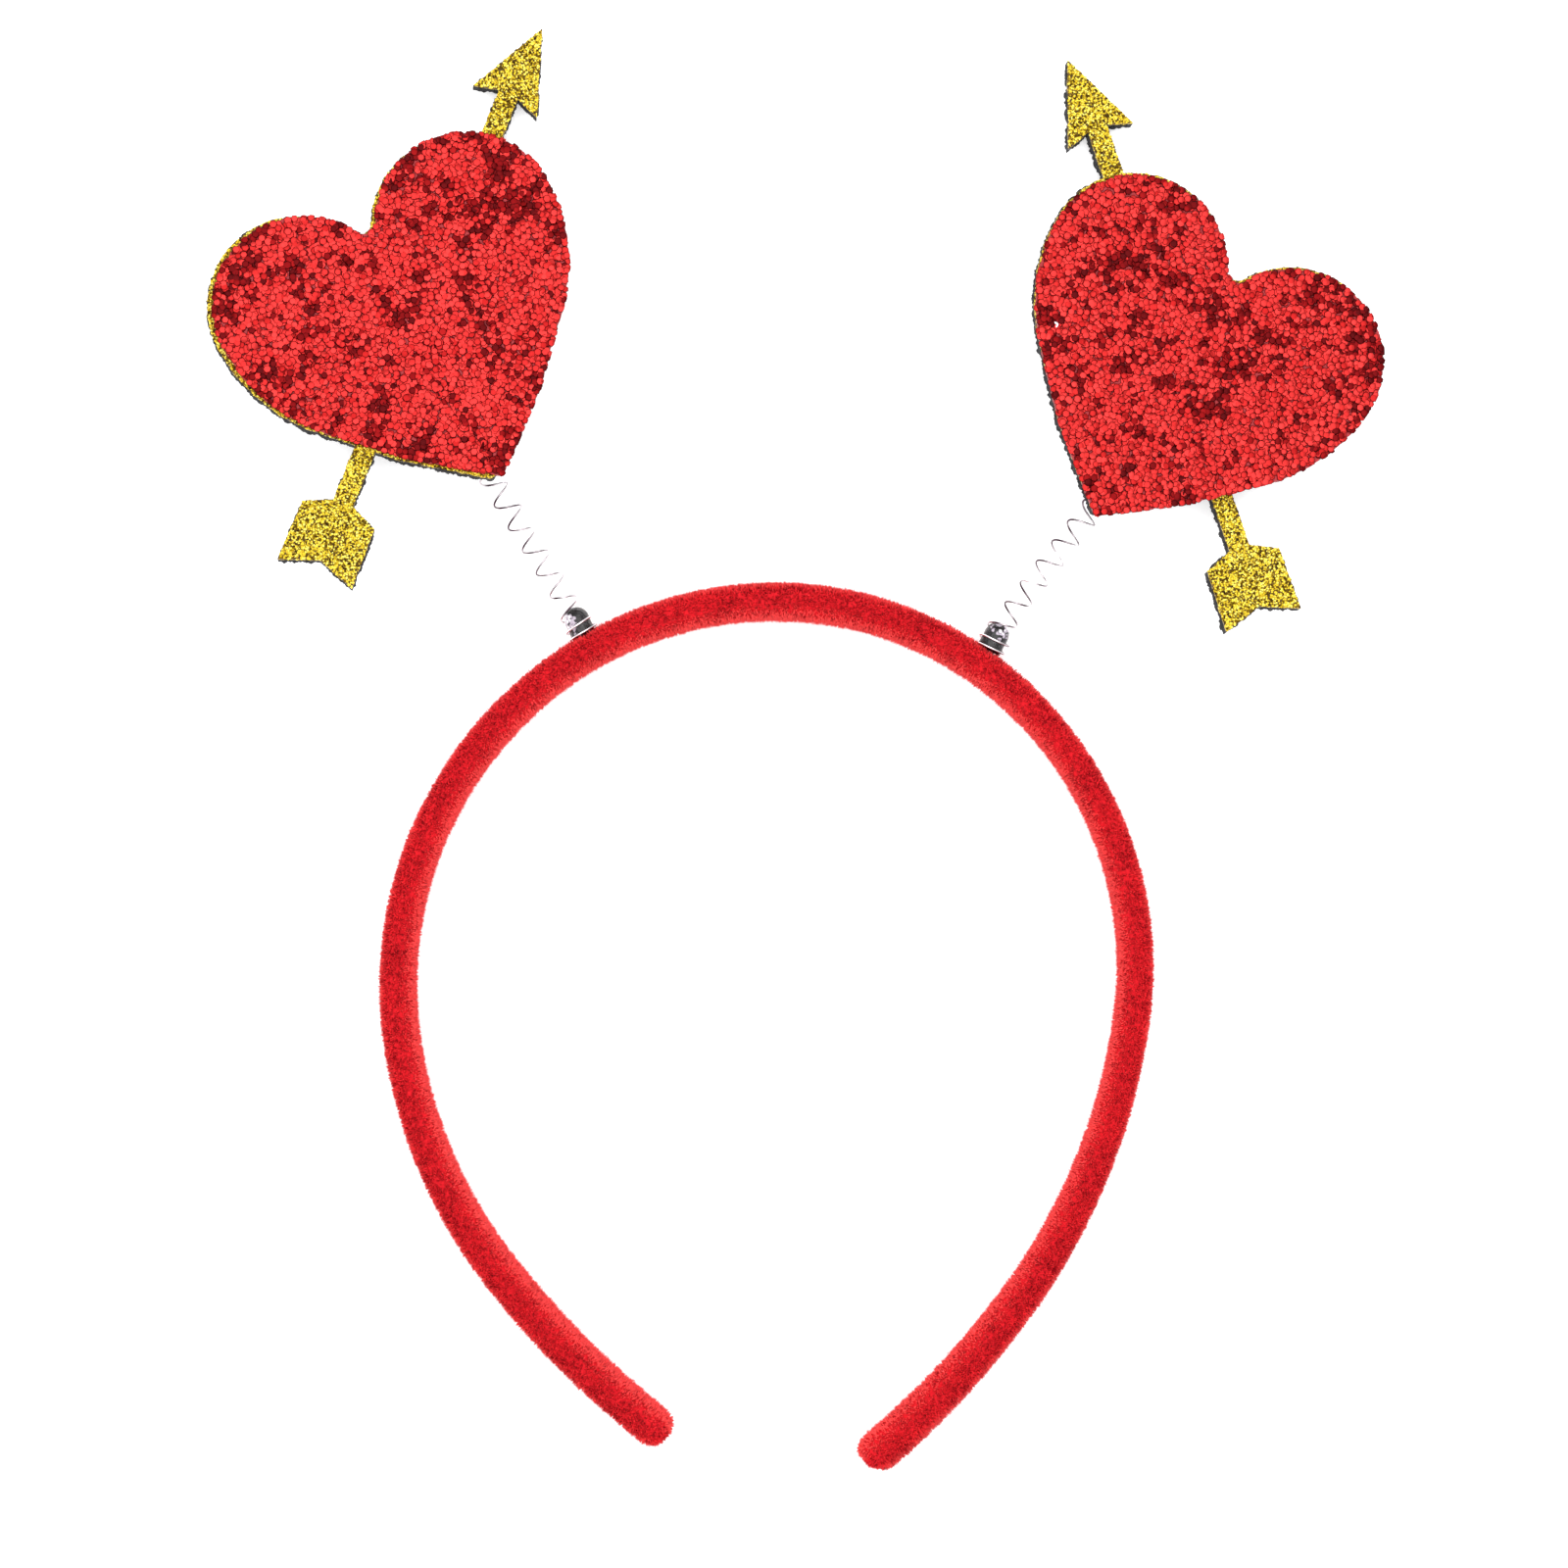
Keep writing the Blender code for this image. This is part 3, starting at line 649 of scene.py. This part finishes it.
class HEADBAND_OT_velour(Operator):
    """Cover the band with velour: a cloth under tufts of pile"""

    bl_idname = "headband.velour"
    bl_label = "Velour band"

    def execute(self, context):
        sizes = context.scene.headband_velour
        rng = np.random.default_rng(seed=11)
        middles, outward, radii, turns, ends = band_grid(BAND_STEPS, BAND_SIDES)
        grid = band_surface(middles, outward, radii - sizes.sunk, turns)
        places, faces = skin(grid, *ends)
        cloth = make_piece(
            "velour_cover", places, faces, self.cloth(sizes), "velour", smooth=True
        )
        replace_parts(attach(cloth, "headband"), "band")
        pile = self.pile(sizes)
        half = len(grid) // 2
        for side, part in zip(SIDES, (slice(0, half + 1), slice(half, len(grid)))):
            places, faces, marks = self.tufts(sizes, grid[part], outward[part], turns, rng)
            piece = make_piece(
                "velour_pile_" + side, places, faces, pile, "velour", smooth=True, **marks
            )
            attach(piece, "headband")
        return {"FINISHED"}

    def tufts(self, sizes, grid, outward, turns, rng):
        """Three-sided tufts that stand on the cloth and lean at random, longer in some clumps.

        A tuft's tone tells how deep or light it is, and is raised along the band's inner side as a
        painted sheen. Its light is a painted sheen, higher along the inner and the outer side.
        """
        spots, normals, cells = scattered(grid, sizes.tufts, rng)
        ring, place_around = np.divmod(cells, len(turns))
        facing = outward[ring] * np.cos(turns[place_around])[:, None]
        facing = facing + UP * np.sin(turns[place_around])[:, None]
        normals = normals * np.sign((normals * facing).sum(-1, keepdims=True))
        # 0.6 along each of three axes is about one in all
        lean = rng.normal(size=normals.shape) * sizes.lean * 0.6
        clump = waves(spots, size=0.42 * MM, seed=5)
        uneven = 1.0 + 0.12 * clump + 0.18 * rng.normal(size=len(spots))
        tall = sizes.pile_height * np.clip(uneven, 0.5, 1.5)
        wide = sizes.tuft_width * rng.uniform(0.7, 1.2, len(spots))
        turn = around_circle(3)
        root = np.stack((np.cos(turn), np.sin(turn), np.zeros(3)), axis=-1) / 2
        corners = np.vstack((root, (0.0, 0.0, 1.0)))
        faces = [np.array(((2, 1, 0), (0, 1, 3), (1, 2, 3), (2, 0, 3)))]
        scale = np.stack((wide, wide, tall), axis=-1)
        places, groups = joined_copies(corners, faces, spots, unit(normals + lean), scale, rng)
        lowest = 0.02 * MM
        places[:, 2] = np.maximum(places[:, 2], lowest)
        outer = (outward[ring] * facing).sum(-1)
        # painted sheen: paler pile where the band faces inward or outward
        light = np.interp(outer, (-0.55, 0.0, 0.45, 0.8), (1.0, 0.0, 0.0, 0.8))
        light = np.clip(light + 0.12 * rng.normal(size=len(spots)), 0.0, 1.0)
        patch = waves(spots, size=3.0 * MM, seed=6)
        tone = 0.53 + 0.20 * clump + 0.06 * patch + 0.20 * rng.normal(size=len(spots))
        # painted sheen: the tone is raised along the band's inner side
        tone = tone + 0.36 * np.interp(outer, (-0.5, 0.05), (1.0, 0.0))
        marks = {
            "rise": np.tile(corners[:, 2], len(spots)),
            "tone": np.repeat(tone, len(corners)),
            "light": np.repeat(light, len(corners)),
        }
        return places, groups, marks

    def pile(self, sizes):
        """Pile in painted shade at its roots, light at its tips, and paler with a painted sheen."""
        shader = Shader("velour_pile", {
            "Roughness": 0.9, "Sheen Weight": 0.12, "Sheen Roughness": 0.4,
            "Sheen Tint": (1.0, 0.12, 0.12, 1.0), "Specular IOR Level": 0.06,
        })
        # painted sheen: the tips turn paler where the light mark is high
        tip = shader.mix(shader.attribute("light"), sizes.tip, sizes.painted_sheen)
        # painted shade: the roots, deep in the pile, take the dark root colour
        depth = shader.attribute("rise") * 0.4 + shader.attribute("tone") * 1.1 - 0.15
        shader.feed({"Base Color": shader.mix(depth, sizes.root, tip)})
        return shader.material

    def cloth(self, sizes):
        """Knitted ground under the pile, with darker loops in the roots' painted shade colour."""
        shader = Shader("velour_cloth", {"Roughness": 0.9, "Specular IOR Level": 0.1})
        loops = shader.noise(size=0.5 * MM)
        # painted shade: the ground between the tufts takes the dark root colour in places
        shader.feed({"Base Color": shader.mix(loops, sizes.root, sizes.tip)})
        shader.bump(loops, distance=0.15 * MM)
        return shader.material


class HEADBAND_OT_plugs(Operator):
    """Make the glossy domed plugs that the springs stand on"""

    bl_idname = "headband.plugs"
    bl_label = "Plugs"

    def execute(self, context):
        sizes = context.scene.headband_plug
        material = self.gloss(sizes)
        for side in SIDES:
            foot, axis, radius, tall = plug_axis(side)
            straight = STRAIGHT_SHARE * tall
            places, faces = self.cap(foot, axis, radius, tall, straight, sizes.sunk)
            # painted reflection: stronger where the cap faces the lit way
            lit = np.array(getattr(sizes, "lit_" + side))
            facing = unit(places - foot - straight * axis)
            piece = make_piece(
                "plug_cap_" + side, places, faces, material, "plug", smooth=True,
                bloom=facing @ lit,
            )
            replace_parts(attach(piece, "headband"), "plug_" + side)
        return {"FINISHED"}

    def cap(self, foot, axis, radius, tall, straight, sunk):
        """Places and faces of a plug: an almost straight foot under a blunt dome.

        Up the dome the height grows as the sine of an angle, and the radius shrinks as its cosine
        to the power 0.9. Small lumps move the surface in and out.
        """
        rise = np.linspace(0.0, np.pi / 2, DOME_RINGS, endpoint=False)
        foot_heights = (-sunk, 0.0, 0.2 * tall)
        foot_shares = (0.92, 1.0, 0.98)
        heights = np.concatenate((foot_heights, straight + (tall - straight) * np.sin(rise)))
        reach = radius * np.concatenate((foot_shares, np.cos(rise) ** 0.9))
        turn = around_circle(PLUG_SIDES)
        across = unit(np.cross(axis, UP))
        beside = np.cross(axis, across)
        circle = np.cos(turn)[:, None] * across + np.sin(turn)[:, None] * beside
        rings = foot + heights[:, None, None] * axis + reach[:, None, None] * circle
        lumps = waves(rings, size=1.6 * MM, seed=3)[..., None] * 0.035 * MM
        return skin(rings + lumps * circle, foot - sunk * axis, foot + tall * axis)

    def gloss(self, sizes):
        """Black gloss with painted silvery lilac reflections and pale glints on one side, with
        black gaps.
        """
        shader = Shader("plug_gloss", {
            "Specular IOR Level": 0.3, "Coat Weight": 0.25, "Coat Roughness": 0.05,
        })
        fold = 1.3
        # painted reflection: dark grey, lilac and pale glint bands by how far a spot faces the lit
        # way
        spread = shader.attribute("bloom") + shader.noise(size=0.7 * MM) * fold - fold / 2
        patch = shader.ramp(spread, [
            (0.10, tuple(sizes.colour)), (0.14, (0.09, 0.08, 0.09)), (0.20, tuple(sizes.colour)),
            (0.56, tuple(sizes.colour)), (0.62, tuple(sizes.bloom)), (0.84, tuple(sizes.bloom)),
            (0.90, (0.9, 0.87, 0.9)),
        ])
        # the painted reflection gives way to the plug's black along cell borders
        border = shader.cells(0.9 * MM, "Distance")
        reflection_gap = shader.ramp(border, [(0.50, (0, 0, 0)), (0.72, (1, 1, 1))])
        shader.feed({"Base Color": shader.mix(reflection_gap, patch, sizes.colour)})
        shader.feed({"Roughness": 0.12 + shader.noise(size=0.8 * MM) * 0.2})
        shader.bump(shader.noise(size=0.6 * MM), distance=0.3 * MM, strength=0.9)
        return shader.material


def plug_axis(side):
    """Foot, axis, radius and height of a CAD plug, whose foot is its face of most corners."""
    shape = welded("plug_" + side, flatten=True)
    base = max(shape.faces, key=lambda face: len(face.verts))
    foot = np.array(base.calc_center_median())
    axis = -np.array(base.normal)
    away = np.array([vert.co for vert in shape.verts]) - foot
    heights = away @ axis
    radius = np.linalg.norm(away - heights[:, None] * axis, axis=1).max()
    shape.free()
    return foot, axis, radius, heights.max()


class HEADBAND_OT_springs(Operator):
    """Make the wire springs, each in two halves that meet between its two bends"""

    bl_idname = "headband.springs"
    bl_label = "Springs"

    def execute(self, context):
        sizes = context.scene.headband_spring
        pivots = {joint["name"]: np.array(joint["pos_m"]) for joint in frame["joints"]}
        material = self.chrome(sizes)
        for side in SIDES:
            line = self.wire_line(side, sizes.seat)
            sway, nod = pivots[side + "_sway"], pivots[side + "_nod"]
            middle = (sway + nod) / 2
            beyond = (line - middle) @ (nod - sway) > 0.0
            cut = int(np.argmax(beyond))
            body = side + "_spring"
            for part, stretch, bodies, start, end in (
                ("lower", line[: cut + 1], ("headband", body), 2 * sway - middle, middle),
                ("upper", line[cut:], (body, side + "_heart"), middle, 2 * nod - middle),
            ):
                places, faces, leftward = self.wire(stretch, sizes.wire_radius)
                # painted shade: darker on the wire's left side, none at its foot
                dull = self.painted_shade_share(places, leftward, line[0])
                name = "spring_%s_%s" % (part, side)
                piece = make_piece(name, places, faces, material, "wire", smooth=True, dull=dull)
                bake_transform(piece)
                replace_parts(piece, "spring_" + side)
        return {"FINISHED"}

    def wire_line(self, side, seat):
        """The wire's middle line, through the middles of the CAD wire's rings, from the plug.

        Its lowest turn is moved towards the band, and less the higher it stands.
        """
        shape = welded("spring_" + side, flatten=True)
        foot, axis = plug_axis(side)[:2]
        caps = sorted(shape.faces, key=lambda face: len(face.verts))[-2:]
        first = min(
            caps, key=lambda face: np.linalg.norm(np.array(face.calc_center_median()) - foot)
        )
        rings = rings_from(first.verts)
        shape.free()
        line = smooth_path(np.array([ring.mean(axis=0) for ring in rings]), WIRE_STEPS)
        height = (line - line[0]) @ axis
        lowest_turn, next_turn = 0.4 * MM, 1.4 * MM
        settle = seat * np.interp(height, (lowest_turn, next_turn), (1.0, 0.0))
        return line - settle[:, None] * axis

    def wire(self, stretch, radius):
        """A round wire: a circle carried along the line, square to it, with domed ends.

        The circle starts at the coil's outer side, square to the line and to the coil's axis. How
        far that side faces left, from -1 to 1, is given for each place too.
        """
        along = unit(np.gradient(stretch, axis=0))
        outward = unit(np.cross(along, stretch[-1] - stretch[0]))
        beside = np.cross(along, outward)
        turn = around_circle(WIRE_SIDES)
        circle = np.cos(turn)[:, None] * outward[:, None] + np.sin(turn)[:, None] * beside[:, None]
        rings = stretch[:, None] + radius * circle
        dome = 0.5 * radius
        places, faces = skin(rings, stretch[0] - dome * along[0], stretch[-1] + dome * along[-1])
        leftward = -np.concatenate((np.repeat(outward[:, 0], len(turn)), outward[[0, -1], 0]))
        return places, faces, leftward

    def painted_shade_share(self, places, leftward, foot):
        """Painted shade on the wire, from 0 to 1: uneven, most on its left side, none at its foot.
        """
        dull = 0.66 + 0.40 * leftward + 0.25 * waves(places, size=2.2 * MM, seed=8)
        away = np.linalg.norm(places - foot, axis=1)
        bright_to, shade_from = 3.7 * MM, 4.6 * MM
        return np.clip(dull, 0.0, 1.0) * np.interp(away, (bright_to, shade_from), (0.0, 1.0))

    def chrome(self, sizes):
        """Bright drawn wire, darker where its shade is painted."""
        shader = Shader("bright_wire", {"Metallic": 1.0})
        shader.feed({"Base Color": shader.mix(shader.attribute("dull"), sizes.colour, sizes.dull)})
        shader.feed({"Roughness": 0.10 + shader.noise(size=0.7 * MM) * 0.15})
        return shader.material


class HEADBAND_OT_foam(Operator):
    """Make the black foam backings with their ragged cut edges"""

    bl_idname = "headband.foam"
    bl_label = "Foam backings"

    def execute(self, context):
        sizes = context.scene.headband_foam
        material = self.foam(sizes)
        for number, side in enumerate(SIDES):
            plate = Plate("backing_" + side)
            gold = Plate("arrow_plate_" + side)
            places, faces = plate.walls(
                plate.low, gold.low, sizes.ragged, grain=0.2 * MM, seed=21 + number
            )
            piece = make_piece("foam_" + side, places, faces, material, "black_foam")
            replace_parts(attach(piece, side + "_heart"), "backing_" + side)
        return {"FINISHED"}

    def foam(self, sizes):
        """Matte black foam with small open pores."""
        shader = Shader("black_foam", {"Specular IOR Level": 0.3})
        pores = shader.cells(0.35 * MM, "Distance")
        grey = tuple(3.0 * part + 0.02 for part in sizes.colour)
        shader.feed({"Base Color": shader.mix(pores * 0.5, sizes.colour, grey)})
        shader.feed({"Roughness": 0.8 + shader.noise(size=0.5 * MM) * 0.2})
        shader.bump(pores + shader.noise(size=0.25 * MM), distance=0.12 * MM, strength=0.7)
        return shader.material


class HEADBAND_OT_gold(Operator):
    """Make the gold glitter sheets, heart and arrow in one, with loose grains on top"""

    bl_idname = "headband.gold"
    bl_label = "Gold arrows"

    def execute(self, context):
        sizes = context.scene.headband_gold
        # tones run from painted shade to painted glints
        stops = [
            (0.0, tuple(sizes.dark)), (0.30, (0.15, 0.08, 0.001)),
            (0.55, (0.54, 0.36, 0.008)), (0.80, tuple(sizes.bright)), (1.0, (1.0, 0.93, 0.20)),
        ]
        sheet = cell_shader("gold_sheet", stops, size=0.3 * MM, metallic=0.5)
        grain = glitter_shader(
            "gold_grains", stops, roughness=0.24, metallic=0.45, size=0.3 * MM
        )
        edge_clear, under_red, thickness = 0.08 * MM, 0.8 * MM, 0.05 * MM
        corners, faces = prism(4)
        for number, side in enumerate(SIDES):
            rng = np.random.default_rng(seed=31 + number)
            plate = Plate("arrow_plate_" + side)
            red = Plate("red_heart_" + side)
            body = side + "_heart"
            places, groups = plate.walls(
                plate.low, plate.high, ragged=0.05 * MM, grain=0.3 * MM, seed=25 + number
            )
            piece = make_piece("gold_sheet_" + side, places, groups, sheet, "gold_glitter")
            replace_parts(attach(piece, body), "arrow_plate_" + side)
            flat = plate.lattice(sizes.spacing, sizes.spacing * 0.3, rng)
            flat = flat[plate.inside(flat) > edge_clear]
            flat = flat[red.inside(flat) < under_red]
            count = len(flat)
            wide = sizes.grain_width * rng.uniform(0.6, 1.15, (count, 2))
            scale = np.column_stack((wide, np.full(count, thickness)))
            # 0.7 along each axis across the sheet is about one in all
            tipped = plate.up + rng.normal(size=(count, 3)) * np.tan(sizes.tilt) * 0.7
            heights = plate.high + rng.uniform(0.0, 0.10, count) * MM
            places, groups = joined_copies(
                corners, faces, plate.place(flat, heights), unit(tipped), scale, rng
            )
            # painted shade and painted glints: a grain is dark or bright by chance
            dark = rng.random(count) < 0.36
            dark_tone, bright_tone = rng.uniform(0.0, 0.4, count), rng.uniform(0.55, 1.0, count)
            tone = np.where(dark, dark_tone, bright_tone)
            piece = make_piece(
                "gold_grains_" + side, places, groups, grain, "gold_glitter", smooth=True,
                tone=np.repeat(tone, len(corners)), rim=np.zeros(len(places)),
            )
            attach(piece, body)
        return {"FINISHED"}


class HEADBAND_OT_glitter(Operator):
    """Make the red hearts: a dark red sheet under overlapping six-sided flakes"""

    bl_idname = "headband.glitter"
    bl_label = "Red hearts"

    def execute(self, context):
        sizes = context.scene.headband_glitter
        # tones run from painted shade to painted reflection; the highest, silvery, is also a
        # painted glint
        stops = [
            (0.0, tuple(sizes.dark)), (0.35, (0.16, 0.001, 0.002)),
            (0.62, (0.35, 0.008, 0.008)), (0.94, tuple(sizes.bright)), (0.99, (0.7, 0.66, 0.68)),
        ]
        flake = glitter_shader(
            "red_flakes", stops, roughness=0.28, metallic=0.6, size=0.5 * MM
        )
        sheet = self.sheet(sizes)
        bed_depth = 0.35 * MM
        corners, faces = prism(6, foot=1.24)
        for number, side in enumerate(SIDES):
            rng = np.random.default_rng(seed=41 + number)
            plate = Plate("red_heart_" + side)
            gold = Plate("arrow_plate_" + side)
            body = side + "_heart"
            bed = plate.high - bed_depth
            places, groups = plate.walls(
                gold.high, bed, ragged=0.07 * MM, grain=0.3 * MM, seed=51 + number
            )
            piece = make_piece("red_sheet_" + side, places, groups, sheet, "red_glitter")
            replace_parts(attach(piece, body), "red_heart_" + side)
            flat = plate.lattice(sizes.spacing, sizes.spacing * 0.34, rng)
            depth = plate.inside(flat)
            flat, depth = flat[depth > 0.0], depth[depth > 0.0]
            count = len(flat)
            wide = sizes.flake_width * rng.normal(1.0, 0.06, count)
            scale = np.column_stack((wide, wide, np.full(count, sizes.flake_thickness)))
            tilt = np.tan(sizes.tilt) * rng.exponential(1.0, (count, 1))
            tipped = plate.up + rng.normal(size=(count, 3)) * tilt
            heights = bed + rng.uniform(0.05, 0.33, count) * MM
            spots = plate.place(flat, heights)
            places, groups = joined_copies(corners, faces, spots, unit(tipped), scale, rng)
            rim = np.repeat(depth < sizes.flake_width, len(corners))
            places[rim] = plate.trimmed(places[rim], sizes.overhang)
            # painted shadow: the rim mark darkens each flake's foot
            piece = make_piece(
                "red_flakes_" + side, places, groups, flake, "red_glitter", smooth=True,
                tone=np.repeat(self.tones(sizes.patch, spots, number, rng), len(corners)),
                rim=np.tile(corners[:, 2] < 0.0, count),
            )
            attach(piece, body)
        return {"FINISHED"}

    def tones(self, patch, spots, number, rng):
        """Tone of each flake: a bright painted reflection, with painted shade in patches where a
        smooth field runs low.

        One flake in 2500 gets the highest tone, which is silvery: a stray silver flake and a
        painted glint.
        """
        count = len(spots)
        small = waves(spots, size=patch, seed=61 + number)
        large = waves(spots, size=3 * patch, seed=71 + number)
        field = small + 0.5 * large
        field = field - field.mean()
        bright = 0.80 + 0.10 * rng.normal(size=count)
        dark = rng.uniform(0.02, 0.42, count)
        chance = 0.07 + 0.75 * np.clip(-0.35 - field, 0.0, 1.0)
        tone = np.clip(np.where(rng.random(count) < chance, dark, bright), 0.02, 0.92)
        return np.where(rng.random(count) < 0.0004, 1.0, tone)

    def sheet(self, sizes):
        """Dark red film under the flakes, partly painted shade in the gaps, specked where it shows
        at the edge.
        """
        shader = Shader("red_sheet", {"Metallic": 0.2, "Roughness": 0.5})
        speck = shader.noise(size=0.3 * MM)
        light = tuple(2.0 * part for part in sizes.sheet)
        shader.feed({"Base Color": shader.mix(speck, sizes.sheet, light)})
        shader.bump(speck, distance=0.1 * MM)
        return shader.material


class HEADBAND_OT_stage(Operator):
    """Set the pale floor, the soft light and the camera"""

    bl_idname = "headband.stage"
    bl_label = "Stage"

    def execute(self, context):
        sizes = context.scene.headband_stage
        self.floor(sizes)
        self.sky(context)
        self.lamp("overhead", (0.0, 0.25, 1.5), tilt=-0.165, width=1.9, power=25.0)
        camera = bpy.data.objects.new("camera", bpy.data.cameras.new("camera"))
        camera.location = (sizes.camera_x, sizes.camera_y, sizes.camera_height)
        camera.data.lens = sizes.lens
        camera.data.clip_start = 0.01
        context.scene.collection.objects.link(camera)
        context.scene.camera = camera
        context.scene.view_settings.view_transform = "Standard"
        return {"FINISHED"}

    def floor(self, sizes):
        """A pale square floor that glows a little and varies faintly."""
        reach = 4.0
        corners = np.array(((-1, -1, 0), (1, -1, 0), (1, 1, 0), (-1, 1, 0))) * reach
        shader = Shader("floor", {
            "Roughness": 0.9, "Specular IOR Level": 0.1,
            "Emission Color": (1.0, 1.0, 1.0, 1.0), "Emission Strength": 0.3,
        })
        grey = tuple(0.99 * part for part in sizes.floor)
        shader.feed({"Base Color": shader.mix(shader.noise(size=0.2), sizes.floor, grey)})
        mesh = bpy.data.meshes.new("floor")
        mesh.from_pydata(corners.tolist(), [], [(0, 1, 2, 3)])
        mesh.materials.append(shader.material)
        floor = bpy.data.objects.new("floor", mesh)
        bpy.context.scene.collection.objects.link(floor)

    def sky(self, context):
        """Even white light from all sides."""
        world = bpy.data.worlds.new("soft_sky")
        world.use_nodes = True
        background = world.node_tree.nodes["Background"]
        background.inputs["Color"].default_value = (1.0, 1.0, 1.0, 1.0)
        background.inputs["Strength"].default_value = 1.12
        context.scene.world = world

    def lamp(self, name, place, tilt, width, power):
        """A square lamp that faces down, tilted about X by an angle in radians."""
        light = bpy.data.lights.new(name, "AREA")
        light.shape = "SQUARE"
        light.size = width
        light.energy = power
        lamp = bpy.data.objects.new(name, light)
        lamp.location = place
        lamp.rotation_euler = (tilt, 0.0, 0.0)
        bpy.context.scene.collection.objects.link(lamp)


OPERATORS = (
    HEADBAND_OT_velour,
    HEADBAND_OT_plugs,
    HEADBAND_OT_springs,
    HEADBAND_OT_foam,
    HEADBAND_OT_gold,
    HEADBAND_OT_glitter,
    HEADBAND_OT_stage,
)


class HEADBAND_PT_panel(Panel):
    """The pieces of the headband and their sizes and colours"""

    bl_idname = "HEADBAND_PT_panel"
    bl_label = "Heart headband"
    bl_space_type = "VIEW_3D"
    bl_region_type = "UI"
    bl_category = "Headband"

    def draw(self, context):
        for operator in OPERATORS:
            self.layout.operator(operator.bl_idname)
        for name, group in SETTINGS.items():
            box = self.layout.box()
            box.label(text=name.capitalize())
            for key in group.__annotations__:
                box.prop(getattr(context.scene, "headband_" + name), key)


def register():
    """Register the classes, and give scenes a group of settings for each kind of piece."""
    for cls in (*SETTINGS.values(), *OPERATORS, HEADBAND_PT_panel):
        bpy.utils.register_class(cls)
    for name, group in SETTINGS.items():
        setattr(bpy.types.Scene, "headband_" + name, PointerProperty(type=group))


def unregister():
    """Undo what register does."""
    for name in SETTINGS:
        delattr(bpy.types.Scene, "headband_" + name)
    for cls in reversed((*SETTINGS.values(), *OPERATORS, HEADBAND_PT_panel)):
        bpy.utils.unregister_class(cls)


def main():
    """Run the operators in order."""
    register()
    for operator in OPERATORS:
        group, name = operator.bl_idname.split(".")
        getattr(getattr(bpy.ops, group), name)()


if __name__ == "__main__":
    main()
